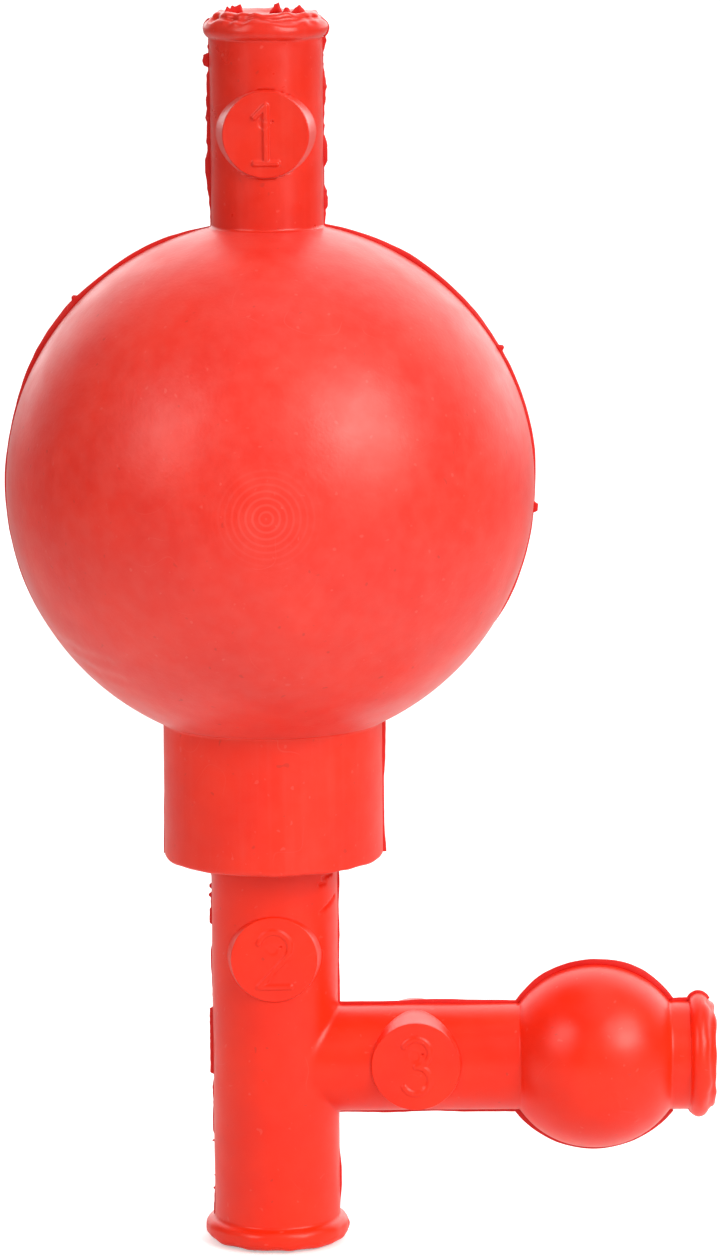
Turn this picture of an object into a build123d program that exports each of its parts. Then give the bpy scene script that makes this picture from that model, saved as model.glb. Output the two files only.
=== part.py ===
"""Three-valve siphon bulb pump for pipettes, in red natural rubber.

Frame: the origin is the centre of the lower mouth's end face, where a pipette is pushed in.
+Z runs up the main axis to the air mouth, +X along the side arm, and -Y is the front.
All sizes are in millimetres.

Two rubber mouldings make the body. main_bulb holds the hollow ball, the air tube above it and
the collar below it. tee_piece holds a plug that is cemented into the collar, the siphon tube,
the side arm and the small exhaust bulb near its end. A steel ball blocks each of the three
tubes, and pinching the pads on both sides of a tube opens a gap round its ball. Each squeezed
area of rubber is a piece of its own, which slides inwards: two walls on each bulb and two pads
on each valve.
"""

from build123d import *

import os
from math import sqrt

# ---- main bulb moulding ----
BULB_RADIUS = 30.0
BULB_WALL = 2.5
BULB_Z = 88.1  # height of the ball's centre
TOP_Z = 141.0  # height of the air mouth
AIR_TUBE_RADIUS = 6.35
AIR_RIM_RADIUS = 6.85
AIR_RIM_HEIGHT = 2.4
AIR_RIM_ROUND = 1.05
COLLAR_RADIUS = 12.5
COLLAR_Z = 45.0  # height of the collar's lower edge
COLLAR_ROUND = 0.6

# ---- tee moulding ----
SIPHON_TUBE_RADIUS = 7.25
SIPHON_RIM_RADIUS = 8.25
SIPHON_RIM_HEIGHT = 2.4
SIPHON_RIM_ROUND = 0.95
ARM_Z = 21.1  # height of the side arm's axis
ARM_RADIUS = 6.2
EXHAUST_X = 36.8  # centre of the exhaust bulb
EXHAUST_RADIUS = 10.7
EXHAUST_WALL = 2.0
NECK_RADIUS = 6.3
ARM_RIM_RADIUS = 7.25
ARM_RIM_WIDTH = 1.9
ARM_RIM_ROUND = 0.85
ARM_RIM_X = 49.6  # outer side of the rim
ARM_DOME = 1.1  # how far the rounded end stands out past the rim
BLEND = 0.8  # fillet in each corner between a tube and a ball, and round the arm's root

# ---- plug, socket and the cement between them ----
PLUG_RADIUS = 9.35
PLUG_BOTTOM_Z = 45.6
PLUG_TOP_Z = 59.0
PLUG_CHAMFER = 0.8
CEMENT = 0.15
SOCKET_RADIUS = PLUG_RADIUS + CEMENT

# ---- passages and valves ----
MOUTH_RADIUS = 3.25  # grips the end of a 6.5 mm pipette
MOUTH_DEPTH = 17.5
AIR_MOUTH_RADIUS = 2.6
AIR_MOUTH_DEPTH = 8.0
PASSAGE_RADIUS = 2.25
EXHAUST_HOLE_RADIUS = 2.0
VALVE_BALL_RADIUS = 3.5
SEAT_CLEARANCE = 0.02
AIR_VALVE_Z = 128.3
SIPHON_VALVE_Z = 34.3
EXHAUST_VALVE_X = 16.1

# ---- squeezed walls and pads ----
RUNNING = 0.05  # radial clearance round each moving piece
BULB_PRESS_RADIUS = 20.0
EXHAUST_PRESS_RADIUS = 6.0
PAD_TRAVEL = 1.0
PAD_THICKNESS = 1.2
PAD_FLOOR_GAP = 0.1  # left under a pad at the end of its travel
PAD_EDGE = 0.3
AIR_PAD_PROUD = 0.5  # how far each pad's face stands out from the crown of its tube
SIPHON_PAD_PROUD = 0.15
EXHAUST_PAD_PROUD = 0.3
EXHAUST_PAD_Z = 21.4  # these two pads sit a little above the arm's axis
AIR_BOSS_RADIUS = 4.95
AIR_BOSS_DRAFT = 10.0
SIPHON_BOSS_RADIUS = 5.2
EXHAUST_BOSS_RADIUS = 5.35
TEE_BOSS_DRAFT = 7.0
BOSS_LAND = 0.55  # ring of boss left round the moving pad
DIGIT_HEIGHT = 6.4
DIGIT_WIDTH = 3.6
DIGIT_STROKE = 0.6
DIGIT_RELIEF = 0.3

FRONT, BACK = -1, 1


def finish(part, name):
    """Names a finished piece and writes it out."""
    part.label = name
    export_step(part, f"parts/{name}.step")


def pad_planes(x, z, face_y):
    """Planes of the front and back pad's outer faces: normals point outwards and y axes up."""
    return [
        Plane(origin=(x, side * face_y, z), x_dir=(-side, 0, 0), z_dir=(0, side, 0))
        for side in (FRONT, BACK)
    ]


def draw_digit(digit):
    """Draws 1, 2 or 3 in the sketch that is open, as strokes of one width."""
    half_w, half_h = DIGIT_WIDTH / 2, DIGIT_HEIGHT / 2
    serif, flag = 0.7 * half_w, 0.4 * half_h
    with BuildLine() as first_stroke:
        if digit == 1:
            Polyline((-serif, half_h - flag), (0, half_h), (0, -half_h))
        elif digit == 2:
            crown = CenterArc((0, half_h - half_w), half_w, 165, -205)
            Polyline(crown @ 1, (-half_w, -half_h), (half_w, -half_h))
        else:
            CenterArc((0, half_h / 2), half_h / 2, 150, -240)
    trace(first_stroke.line, DIGIT_STROKE)
    if digit != 2:
        with BuildLine() as second_stroke:
            if digit == 1:
                Line((-serif, -half_h), (serif, -half_h))
            else:
                CenterArc((0, -half_h / 2), half_h / 2, 90, -240)
        trace(second_stroke.line, DIGIT_STROKE)


def make_pad(name, plane, radius, digit):
    """A moving pad: a round disc with a raised digit on its face."""
    with BuildPart() as pad:
        with BuildSketch(plane):
            Circle(radius)
        extrude(amount=-PAD_THICKNESS)
        rim = pad.edges().group_by(SortBy.LENGTH)[-1].sort_by_distance(plane.origin)[0]
        fillet(rim, PAD_EDGE)
        with BuildSketch(plane.offset(-PAD_EDGE)):
            draw_digit(digit)
        extrude(amount=PAD_EDGE + DIGIT_RELIEF)
    finish(pad.part, name)


os.makedirs("parts", exist_ok=True)

AIR_PLANES = pad_planes(0, AIR_VALVE_Z, AIR_TUBE_RADIUS + AIR_PAD_PROUD)
SIPHON_PLANES = pad_planes(0, SIPHON_VALVE_Z, SIPHON_TUBE_RADIUS + SIPHON_PAD_PROUD)
EXHAUST_PLANES = pad_planes(EXHAUST_VALVE_X, EXHAUST_PAD_Z, ARM_RADIUS + EXHAUST_PAD_PROUD)
TEE_PADS = [(plane, SIPHON_BOSS_RADIUS) for plane in SIPHON_PLANES]
TEE_PADS += [(plane, EXHAUST_BOSS_RADIUS) for plane in EXHAUST_PLANES]
POCKET_DEPTH = PAD_THICKNESS + PAD_TRAVEL + PAD_FLOOR_GAP

# The half sketches below are revolved. Each one is cut along its axis by a plane in its own
# coordinates, in which x is the frame's X and y is the frame's Z.
RIGHT_OF_AXIS = Plane.YZ
ABOVE_ARM = Plane.ZX.offset(ARM_Z)
ARM_AXIS = Axis((0, 0, ARM_Z), (1, 0, 0))

# ---- main_bulb: ball, air tube and collar in one moulding ----
with BuildPart() as main_bulb:
    with BuildSketch(Plane.XZ) as outline:
        with Locations((0, BULB_Z)):
            Circle(BULB_RADIUS)
            Rectangle(2 * AIR_TUBE_RADIUS, TOP_Z - BULB_Z, align=(Align.CENTER, Align.MIN))
            Rectangle(2 * COLLAR_RADIUS, BULB_Z - COLLAR_Z, align=(Align.CENTER, Align.MAX))
        with Locations((0, TOP_Z - AIR_RIM_HEIGHT / 2)):
            RectangleRounded(2 * AIR_RIM_RADIUS, AIR_RIM_HEIGHT, AIR_RIM_ROUND)
        split(bisect_by=RIGHT_OF_AXIS)
        for radius, above in ((AIR_TUBE_RADIUS, 1), (COLLAR_RADIUS, -1)):
            corner = (radius, BULB_Z + above * sqrt(BULB_RADIUS**2 - radius**2))
            fillet(outline.vertices().sort_by_distance(corner)[0], BLEND)
        fillet(outline.vertices().sort_by_distance((COLLAR_RADIUS, COLLAR_Z))[0], COLLAR_ROUND)
    revolve(axis=Axis.Z)
    for plane in AIR_PLANES:
        with BuildSketch(plane):
            Circle(AIR_BOSS_RADIUS)
        extrude(amount=-abs(plane.origin.Y), taper=-AIR_BOSS_DRAFT)
    with BuildSketch(Plane.XZ):
        with Locations((0, BULB_Z)):
            Circle(BULB_RADIUS - BULB_WALL)
            Rectangle(2 * PASSAGE_RADIUS, TOP_Z - BULB_Z, align=(Align.CENTER, Align.MIN))
            Rectangle(2 * SOCKET_RADIUS, BULB_Z - COLLAR_Z, align=(Align.CENTER, Align.MAX))
        with Locations((0, TOP_Z)):
            Rectangle(2 * AIR_MOUTH_RADIUS, AIR_MOUTH_DEPTH, align=(Align.CENTER, Align.MAX))
        with Locations((0, AIR_VALVE_Z)):
            Circle(VALVE_BALL_RADIUS + SEAT_CLEARANCE)
        split(bisect_by=RIGHT_OF_AXIS)
    revolve(axis=Axis.Z, mode=Mode.SUBTRACT)
    for plane in AIR_PLANES:
        with BuildSketch(plane):
            Circle(AIR_BOSS_RADIUS - BOSS_LAND)
        extrude(amount=-POCKET_DEPTH, mode=Mode.SUBTRACT)
    with BuildSketch(Plane.XZ):
        with Locations((0, BULB_Z)):
            Circle(BULB_PRESS_RADIUS)
    extrude(amount=BULB_RADIUS, both=True, mode=Mode.SUBTRACT)
finish(main_bulb.part, "main_bulb")

# ---- tee_piece: plug, siphon tube, side arm and exhaust bulb in one moulding ----
with BuildPart() as tee_piece:
    with BuildSketch(Plane.XZ) as stem:
        Rectangle(2 * SIPHON_TUBE_RADIUS, PLUG_TOP_Z, align=(Align.CENTER, Align.MIN))
        with Locations((0, SIPHON_RIM_HEIGHT / 2)):
            RectangleRounded(2 * SIPHON_RIM_RADIUS, SIPHON_RIM_HEIGHT, SIPHON_RIM_ROUND)
        with Locations((0, PLUG_TOP_Z)):
            Rectangle(2 * PLUG_RADIUS, PLUG_TOP_Z - PLUG_BOTTOM_Z, align=(Align.CENTER, Align.MAX))
        split(bisect_by=RIGHT_OF_AXIS)
        chamfer(stem.vertices().sort_by_distance((PLUG_RADIUS, PLUG_TOP_Z))[0], PLUG_CHAMFER)
    revolve(axis=Axis.Z)
    with BuildSketch(Plane.XZ) as arm:
        with Locations((0, ARM_Z)):
            Rectangle(EXHAUST_X, 2 * ARM_RADIUS, align=(Align.MIN, Align.CENTER))
        with Locations((EXHAUST_X, ARM_Z)):
            Circle(EXHAUST_RADIUS)
            Rectangle(ARM_RIM_X - EXHAUST_X, 2 * NECK_RADIUS, align=(Align.MIN, Align.CENTER))
        with Locations((ARM_RIM_X - ARM_RIM_WIDTH / 2, ARM_Z)):
            RectangleRounded(ARM_RIM_WIDTH, 2 * ARM_RIM_RADIUS, ARM_RIM_ROUND)
        with Locations((ARM_RIM_X, ARM_Z)):
            Ellipse(ARM_DOME, ARM_RIM_RADIUS - ARM_RIM_ROUND)
        split(bisect_by=ABOVE_ARM)
        for radius, beyond in ((ARM_RADIUS, -1), (NECK_RADIUS, 1)):
            corner = (EXHAUST_X + beyond * sqrt(EXHAUST_RADIUS**2 - radius**2), ARM_Z + radius)
            fillet(arm.vertices().sort_by_distance(corner)[0], BLEND)
    revolve(axis=ARM_AXIS)
    arm_root = tee_piece.edges().sort_by_distance((SIPHON_TUBE_RADIUS, 0, ARM_Z + ARM_RADIUS))[0]
    fillet(arm_root, BLEND)
    for plane, boss_radius in TEE_PADS:
        with BuildSketch(plane):
            Circle(boss_radius)
        extrude(amount=-abs(plane.origin.Y), taper=-TEE_BOSS_DRAFT)
    with BuildSketch(Plane.XZ):
        Rectangle(2 * MOUTH_RADIUS, MOUTH_DEPTH, align=(Align.CENTER, Align.MIN))
        Rectangle(2 * PASSAGE_RADIUS, PLUG_TOP_Z, align=(Align.CENTER, Align.MIN))
        with Locations((0, SIPHON_VALVE_Z)):
            Circle(VALVE_BALL_RADIUS + SEAT_CLEARANCE)
        split(bisect_by=RIGHT_OF_AXIS)
    revolve(axis=Axis.Z, mode=Mode.SUBTRACT)
    with BuildSketch(Plane.XZ):
        with Locations((0, ARM_Z)):
            Rectangle(EXHAUST_X, 2 * PASSAGE_RADIUS, align=(Align.MIN, Align.CENTER))
        with Locations((EXHAUST_VALVE_X, ARM_Z)):
            Circle(VALVE_BALL_RADIUS + SEAT_CLEARANCE)
        with Locations((EXHAUST_X, ARM_Z)):
            Circle(EXHAUST_RADIUS - EXHAUST_WALL)
            Rectangle(2 * EXHAUST_RADIUS, 2 * EXHAUST_HOLE_RADIUS, align=(Align.MIN, Align.CENTER))
        split(bisect_by=ABOVE_ARM)
    revolve(axis=ARM_AXIS, mode=Mode.SUBTRACT)
    for plane, boss_radius in TEE_PADS:
        with BuildSketch(plane):
            Circle(boss_radius - BOSS_LAND)
        extrude(amount=-POCKET_DEPTH, mode=Mode.SUBTRACT)
    with BuildSketch(Plane.XZ):
        with Locations((EXHAUST_X, ARM_Z)):
            Circle(EXHAUST_PRESS_RADIUS)
    extrude(amount=EXHAUST_RADIUS, both=True, mode=Mode.SUBTRACT)
finish(tee_piece.part, "tee_piece")

# ---- cement_film: the glued layer between the plug and the collar ----
with BuildPart() as cement_film:
    with BuildSketch(Plane.XY.offset(PLUG_BOTTOM_Z)):
        Circle(SOCKET_RADIUS)
        Circle(PLUG_RADIUS, mode=Mode.SUBTRACT)
    extrude(amount=PLUG_TOP_Z - PLUG_CHAMFER - PLUG_BOTTOM_Z)
finish(cement_film.part, "cement_film")


def make_wall(name, x, z, outer_radius, wall, press_radius, side):
    """A squeezed bulb wall: the round cap that is cut out of a hollow ball, seen from one side."""
    with BuildPart() as cap:
        with BuildSketch(Plane.XY.offset(z)):
            with Locations((x, 0)):
                Circle(outer_radius)
                Circle(outer_radius - wall, mode=Mode.SUBTRACT)
            with Locations((x, side * outer_radius / 2)):
                width = press_radius - RUNNING
                Rectangle(width, outer_radius, align=(Align.MIN, Align.CENTER), mode=Mode.INTERSECT)
        revolve(axis=Axis((x, 0, z), (0, 1, 0)))
    finish(cap.part, name)


# ---- the squeezed wall on each side of both bulbs ----
for end, side in (("front", FRONT), ("back", BACK)):
    make_wall(f"bulb_{end}_wall", 0, BULB_Z, BULB_RADIUS, BULB_WALL, BULB_PRESS_RADIUS, side)
    make_wall(
        f"exhaust_{end}_wall", EXHAUST_X, ARM_Z, EXHAUST_RADIUS, EXHAUST_WALL, EXHAUST_PRESS_RADIUS, side
    )

# ---- pads: one on each side of every valve, numbered in the order of use ----
for valve, planes, boss_radius, digit in (
    ("air", AIR_PLANES, AIR_BOSS_RADIUS, 1),
    ("siphon", SIPHON_PLANES, SIPHON_BOSS_RADIUS, 2),
    ("exhaust", EXHAUST_PLANES, EXHAUST_BOSS_RADIUS, 3),
):
    pad_radius = boss_radius - BOSS_LAND - RUNNING
    make_pad(f"{valve}_pad_front", planes[0], pad_radius, digit)
    make_pad(f"{valve}_pad_back", planes[1], pad_radius, digit)

# ---- valve balls ----
for valve, centre in (
    ("air", (0, 0, AIR_VALVE_Z)),
    ("siphon", (0, 0, SIPHON_VALVE_Z)),
    ("exhaust", (EXHAUST_VALVE_X, 0, ARM_Z)),
):
    with BuildPart() as valve_ball:
        with Locations(centre):
            Sphere(VALVE_BALL_RADIUS)
    finish(valve_ball.part, f"{valve}_valve_ball")
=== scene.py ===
"""Looks of the three-valve siphon bulb pump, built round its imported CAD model.

Lengths are millimetres in the CAD's own frame, and mesh_object() turns them into metres.
The pump is two mouldings of red natural rubber. Both were moulded in halves that met in the plane
y = 0, so torn flash stands along that plane, and the ball still shows its mould's turning marks.
"""

import math

import bmesh
import bpy
import numpy as np
import openvdb
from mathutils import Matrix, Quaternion, Vector


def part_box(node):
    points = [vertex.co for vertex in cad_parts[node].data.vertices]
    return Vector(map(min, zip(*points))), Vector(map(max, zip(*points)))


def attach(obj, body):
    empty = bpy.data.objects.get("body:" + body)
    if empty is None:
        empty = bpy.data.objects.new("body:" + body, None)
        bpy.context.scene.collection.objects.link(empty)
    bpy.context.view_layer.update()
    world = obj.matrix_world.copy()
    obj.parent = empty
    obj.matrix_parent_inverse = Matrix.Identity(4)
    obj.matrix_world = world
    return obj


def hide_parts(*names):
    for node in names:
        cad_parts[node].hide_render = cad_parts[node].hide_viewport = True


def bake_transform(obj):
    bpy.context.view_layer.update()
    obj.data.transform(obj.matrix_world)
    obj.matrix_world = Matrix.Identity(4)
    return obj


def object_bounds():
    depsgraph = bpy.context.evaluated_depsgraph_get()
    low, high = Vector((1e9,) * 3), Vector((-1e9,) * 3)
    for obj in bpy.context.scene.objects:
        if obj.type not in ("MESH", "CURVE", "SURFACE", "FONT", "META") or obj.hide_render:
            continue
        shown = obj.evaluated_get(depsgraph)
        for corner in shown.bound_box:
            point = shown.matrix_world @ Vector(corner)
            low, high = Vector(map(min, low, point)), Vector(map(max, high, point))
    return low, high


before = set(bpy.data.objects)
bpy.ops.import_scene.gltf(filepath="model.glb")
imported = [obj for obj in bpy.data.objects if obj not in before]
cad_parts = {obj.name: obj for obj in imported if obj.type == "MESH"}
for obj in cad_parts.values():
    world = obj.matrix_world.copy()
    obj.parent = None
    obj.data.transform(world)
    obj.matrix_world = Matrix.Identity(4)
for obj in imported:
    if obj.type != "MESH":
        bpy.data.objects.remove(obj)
cad_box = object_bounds()

MM = 0.001
scene = bpy.context.scene


def cad_size(node):
    """Lowest and highest corner of a CAD node, in millimetres."""
    low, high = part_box(node)
    return np.array(low) / MM, np.array(high) / MM


# ---- sizes that the CAD model gives ----
main_low, main_high = cad_size("main_bulb")
tee_low, tee_high = cad_size("tee_piece")
wall_low, wall_high = cad_size("bulb_front_wall")
exhaust_low, exhaust_high = cad_size("exhaust_front_wall")
BALL_R = -wall_low[1]
BALL_Z = (wall_low[2] + wall_high[2]) / 2
TOP_Z = main_high[2]
COLLAR_Z = main_low[2]
PLUG_TOP_Z = tee_high[2]
EXHAUST_X = (exhaust_low[0] + exhaust_high[0]) / 2
EXHAUST_R = -exhaust_low[1]
ARM_Z = (exhaust_low[2] + exhaust_high[2]) / 2
ARM_END_X = tee_high[0]
AIR_VALVE_Z = sum(cad_size("air_valve_ball"))[2] / 2
SIPHON_VALVE_Z = sum(cad_size("siphon_valve_ball"))[2] / 2
EXHAUST_VALVE_X = sum(cad_size("exhaust_valve_ball"))[0] / 2
EXHAUST_PAD_Z = sum(cad_size("exhaust_pad_front"))[2] / 2

# ---- sizes that match the CAD source ----
AIR_TUBE_R = 6.35
COLLAR_R = 12.5
SIPHON_TUBE_R = 7.25
SIPHON_RIM_R = 8.25
SIPHON_RIM_HEIGHT = 2.4
SIPHON_RIM_ROUND = 0.95
ARM_R = 6.2
NECK_R = 6.3
PASSAGE_R = 2.25
MOUTH_R = 3.25
MOUTH_DEPTH = 17.5
AIR_MOUTH_R = 2.6
AIR_MOUTH_DEPTH = 8.0
EXHAUST_HOLE_R = 2.0
SEAT_R = 3.52
PLUG_R = 9.35
PLUG_BOTTOM_Z = 45.6
SOCKET_R = 9.5
BALL_WALL = 2.5
EXHAUST_WALL = 2.0
DIGIT_RELIEF = 0.3

# ---- pads, as seen from outside ----
AIR_FACE_R = 4.85
SIPHON_FACE_R = 4.95
EXHAUST_FACE_R = 5.1
PAD_BODY = 1.0  # a pad's thickness below the crown of its tube
PAD_POCKET = 2.15  # how deep the tube is hollowed under a pad, so that the pad can move in


# =============================== mesh tools ===============================


def lattice(x, y, z, seed):
    """A repeatable random number from 0 to 1 for each whole-number point."""
    n = x * 374761393 + y * 668265263 + z * 1274126177 + seed * 974711
    n = (n ^ (n >> 13)) * 1103515245
    return ((n ^ (n >> 16)) & 0xFFFF) / 0xFFFF


def noise(points, size, seed):
    """Smooth random values from -1 to 1 that change over the given distance."""
    scaled = np.asarray(points, float) / size
    base = np.floor(scaled).astype(np.int64)
    part = scaled - base
    part = part * part * (3 - 2 * part)
    total = np.zeros(scaled.shape[:-1])
    for corner in range(8):
        step = [(corner >> axis) & 1 for axis in range(3)]
        weight = np.ones_like(total)
        for axis in range(3):
            weight = weight * (part[..., axis] if step[axis] else 1 - part[..., axis])
        total += weight * lattice(*(base[..., axis] + step[axis] for axis in range(3)), seed)
    return 2 * total - 1


def smoothstep(value, low, high):
    """0 below low, 1 above high and a smooth curve between them."""
    t = np.clip((value - low) / (high - low), 0, 1)
    return t * t * (3 - 2 * t)


def line_distance(u, v, points):
    """Distance from (u, v) to a line through the given points."""
    nearest = np.full(np.shape(u), 1e9)
    for (ax, ay), (bx, by) in zip(points, points[1:]):
        dx, dy = bx - ax, by - ay
        t = np.clip(((u - ax) * dx + (v - ay) * dy) / (dx * dx + dy * dy), 0, 1)
        nearest = np.minimum(nearest, np.hypot(u - ax - t * dx, v - ay - t * dy))
    return nearest


def soft_min(a, b, width):
    """The lower of two heights, with the corner between them rounded."""
    return np.minimum(a, b) - np.maximum(width - np.abs(a - b), 0) ** 2 / (4 * width)


def soft_max(a, b, width):
    """The higher of two heights, with the corner between them rounded."""
    return -soft_min(-a, -b, width)


def mesh_object(name, parts, material):
    """One smooth-shaded object from a list of (points in millimetres, faces)."""
    points, faces, offset = [], [], 0
    for part_points, part_faces in parts:
        points.append(np.asarray(part_points, float).reshape(-1, 3))
        faces += [[index + offset for index in face] for face in part_faces]
        offset += len(points[-1])
    mesh = bpy.data.meshes.new(name)
    mesh.from_pydata((np.concatenate(points) * MM).tolist(), [], faces)
    work = bmesh.new()
    work.from_mesh(mesh)
    bmesh.ops.recalc_face_normals(work, faces=work.faces)
    work.to_mesh(mesh)
    work.free()
    mesh.shade_smooth()
    mesh.materials.append(material)
    obj = bpy.data.objects.new(name, mesh)
    scene.collection.objects.link(obj)
    return obj


def grid_faces(rows, columns, close_rows=False):
    """Quads over a grid of points whose columns run round a closed loop."""
    faces = []
    for row in range(rows if close_rows else rows - 1):
        this, following = row * columns, (row + 1) % rows * columns
        for column in range(columns):
            right = (column + 1) % columns
            faces.append((this + column, this + right, following + right, following + column))
    return faces


def capped_faces(rows, columns):
    """The same quads for an open row of loops, with a face across the first and the last loop."""
    last = (rows - 1) * columns
    ends = [tuple(range(columns)), tuple(range(last, last + columns))]
    return grid_faces(rows, columns) + ends


def arc(centre, radius, start, end, step=8):
    """Points of an arc in a profile plane, from start to end degrees."""
    count = max(2, int(abs(end - start) / step) + 1)
    angle = np.radians(np.linspace(start, end, count))
    return [(centre[0] + radius * math.cos(a), centre[1] + radius * math.sin(a)) for a in angle]


def resample(path, step):
    """The path's points, with more between them where they are further apart than step."""
    dense = []
    for a, b in zip(path, path[1:]):
        a, b = np.array(a, float), np.array(b, float)
        count = max(1, int(np.linalg.norm(b - a) / step))
        dense += [a + (b - a) * i / count for i in range(count)]
    return np.array(dense + [path[-1]], float)


def lathe(profile, axis="z", segments=192, step=0.35):
    """Points and faces of a closed profile of (radius, height) turned about the z or x direction."""
    radius, height = resample(profile + profile[:1], step)[:-1].T
    angle = np.linspace(0, 2 * math.pi, segments, endpoint=False)
    across = radius[:, None] * np.cos(angle)
    depth = radius[:, None] * np.sin(angle)
    along = np.repeat(height[:, None], segments, axis=1)
    if axis == "z":
        points = np.stack([across, depth, along], axis=-1)
    else:
        points = np.stack([along, depth, across + ARM_Z], axis=-1)
    return points.reshape(-1, 3), grid_faces(len(radius), segments, close_rows=True)


def flare(tube_r, ball_r, fillet):
    """Profile points, as (radius, distance from the ball's centre), of the fillet between a ball
    and a tube that leaves it. It starts just under the ball's skin and ends on the tube."""
    ring_r = tube_r + fillet
    ring_h = math.sqrt((ball_r + fillet) ** 2 - ring_r**2)
    touch = math.degrees(math.atan2(ring_h, ring_r))
    tail_angle = math.radians(touch) - 0.4 / ball_r
    tail = ((ball_r - 0.04) * math.cos(tail_angle), (ball_r - 0.04) * math.sin(tail_angle))
    return [tail] + arc((ring_r, ring_h), fillet, touch - 180, -180, step=10)


def half_shell(centre, radius, wall, side, bands, segments, relief):
    """Points and faces of half a hollow ball, closed at the plane y = 0. bands lists the angles
    from the pole, and relief(angle, direction) raises the outer skin."""
    inner_bands = np.radians(np.linspace(90, 3, 30))
    angle = np.concatenate([bands, inner_bands])[:, None]
    turn = np.linspace(0, 2 * math.pi, segments, endpoint=False)
    facing = side * np.cos(angle) + 0 * turn
    direction = np.stack([np.sin(angle) * np.cos(turn), facing, np.sin(angle) * np.sin(turn)], axis=-1)
    reach = np.full(facing.shape, radius)
    outer = slice(0, len(bands))
    reach[outer] += relief(angle[outer], direction[outer])
    reach[len(bands) :] -= wall
    loops = np.asarray(centre) + direction * reach[..., None]
    poles = np.array([loops[0].mean(axis=0), loops[-1].mean(axis=0)])
    first_pole = len(angle) * segments
    last_loop = first_pole - segments
    faces = grid_faces(len(angle), segments)
    for column in range(segments):
        right = (column + 1) % segments
        faces.append((first_pole, right, column))
        faces.append((first_pole + 1, last_loop + column, last_loop + right))
    return np.concatenate([loops.reshape(-1, 3), poles]), faces


# =============================== flash ===============================

FLASH_STEP = 0.12
FLASH_THICKNESS = 0.32
FLASH_ROOT = 0.3  # how far a fin of flash starts inside the rubber
# How far out a fin's points are, as a share of its height, and how thick it is there.
FLASH_SECTION = ((0, 1), (0.5, 1), (0.85, 0.6), (1, 0.25))


def torn(low, high, size, seed, patches=(), swells=(), fray=0.06):
    """The height of a torn fin along its path: uneven between low and high. patches are (start,
    end, height) with square ends, swells are (centre, spread, extra height), and fray is how
    jagged the edge is."""

    def height_at(along):
        place = along[:, None] * [1, 0, 0]
        fine = noise(place, size / 6, seed + 1)
        height = low + (high - low) * np.clip(0.5 + 0.75 * noise(place, size, seed) + fray * fine, 0, 1)
        for centre, spread, extra in swells:
            height = height + extra * np.exp(-(((along - centre) / spread) ** 2)) * (1 + fray * fine)
        for start, end, patch in patches:
            inside = smoothstep(along, start, start + 0.25) * smoothstep(-along, -end, 0.25 - end)
            height = height + inside * (patch * (1 + fray * fine) - height)
        return height

    return height_at


def fin(path, height_at, seed):
    """Points and faces of a thin fin of flash along a path of (x, z) in the plane y = 0.
    The fin stands out on the left of the path's direction."""
    line = resample(path, FLASH_STEP)
    steps = np.linalg.norm(np.diff(line, axis=0), axis=1)
    along = np.concatenate([[0], np.cumsum(steps)])
    heading = np.gradient(line, axis=0)
    heading /= np.linalg.norm(heading, axis=1)[:, None]
    outward = np.stack([-heading[:, 1], heading[:, 0]], axis=1)
    height = height_at(along) + FLASH_ROOT
    sway = 0.12 * noise(along[:, None] * [1, 0, 0], 3.5, seed)
    loop = []
    for side, section in ((-1, FLASH_SECTION), (1, FLASH_SECTION[::-1])):
        for share, thickness in section:
            spot = line + outward * (share * height - FLASH_ROOT)[:, None]
            depth = share * sway + side * thickness * FLASH_THICKNESS / 2
            loop.append(np.stack([spot[:, 0], depth, spot[:, 1]], axis=1))
    points = np.stack(loop, axis=1)
    return points.reshape(-1, 3), capped_faces(len(line), len(loop))


def ball_arc(centre, radius, start, end):
    """A path round part of a ball's outline, from start to end degrees."""
    return arc(centre, radius, start, end, step=1)


# =============================== implicit solids ===============================


def round_union(a, b, radius):
    """Distance to the union of two solids with a fillet of that radius in the corner."""
    corner = np.hypot(np.maximum(radius - a, 0), np.maximum(radius - b, 0))
    return np.maximum(radius, np.minimum(a, b)) - corner


def rounded_ring(along, across, low, high, outer_r, rounding):
    """Distance to a solid disc between two heights whose rim is rounded."""
    dh = np.abs(along - (low + high) / 2) - (high - low) / 2 + rounding
    dr = across - outer_r + rounding
    outside = np.hypot(np.maximum(dh, 0), np.maximum(dr, 0))
    return outside + np.minimum(np.maximum(dh, dr), 0) - rounding


def rod(points, start, end, radius):
    """Distance to a round rod with rounded ends between two points."""
    start, span = np.array(start), np.array(end) - np.array(start)
    share = np.clip(((points - start) @ span) / (span @ span), 0, 1)
    return np.linalg.norm(points - start - share[..., None] * span, axis=-1) - radius


def implicit_mesh(distance, low, high, voxel):
    """Points and quads of the surface where distance(points) is zero, drawn onto it exactly."""
    axes = [np.arange(low[i], high[i] + voxel, voxel) for i in range(3)]
    field = distance(np.stack(np.meshgrid(*axes, indexing="ij"), axis=-1))
    grid = openvdb.FloatGrid()
    grid.copyFromArray(field.astype(np.float32))
    corners, quads = grid.convertToQuads(isovalue=0.0)
    corners = np.asarray(corners, float) * voxel + np.array(low)
    probes = 0.2 * voxel * np.eye(3)
    for _ in range(3):
        rise = [distance(corners + probe) - distance(corners - probe) for probe in probes]
        slope = np.stack(rise, axis=-1) / (0.4 * voxel)
        steepness = np.maximum((slope**2).sum(axis=-1), 0.05)
        move = -(distance(corners) / steepness)[:, None] * slope
        length = np.linalg.norm(move, axis=-1, keepdims=True)
        corners = corners + move * np.minimum(1, voxel / np.maximum(length, 1e-9))
    return corners, np.asarray(quads).tolist()


# =============================== materials ===============================


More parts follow.
